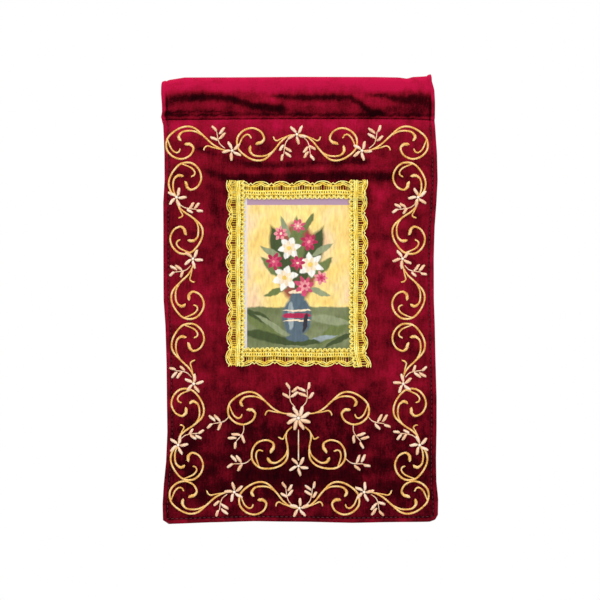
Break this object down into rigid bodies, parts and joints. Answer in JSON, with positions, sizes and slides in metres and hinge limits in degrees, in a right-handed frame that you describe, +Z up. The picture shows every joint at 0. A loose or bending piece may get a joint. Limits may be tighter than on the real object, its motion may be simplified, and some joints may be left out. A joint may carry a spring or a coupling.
{
  "type": "church banner",
  "caption": "Small hanging banner of red velvet with an open rod pocket, a gold embroidered scroll border and a picture card framed in scalloped gold braid.",
  "frame": {"origin": "middle of the banner's top edge, on the line where the rod carries it", "axes": "+Z up, -Y out of the embroidered face, +X to the right as seen from the face"},
  "size_m": [0.1846, 0.0116, 0.2987],
  "materials": {
    "velvet": "velvet pile",
    "gold_braid": "woven gold yarn",
    "gold_thread": "satin stitch",
    "printed_card": "satin"
  },
  "bodies": {
    "root": {"velvet_panel": "velvet", "rod_pocket": "velvet", "picture_card": "printed_card", "braid_top": "gold_braid", "braid_right": "gold_braid", "braid_bottom": "gold_braid", "braid_left": "gold_braid"}
  },
  "joints": []
}
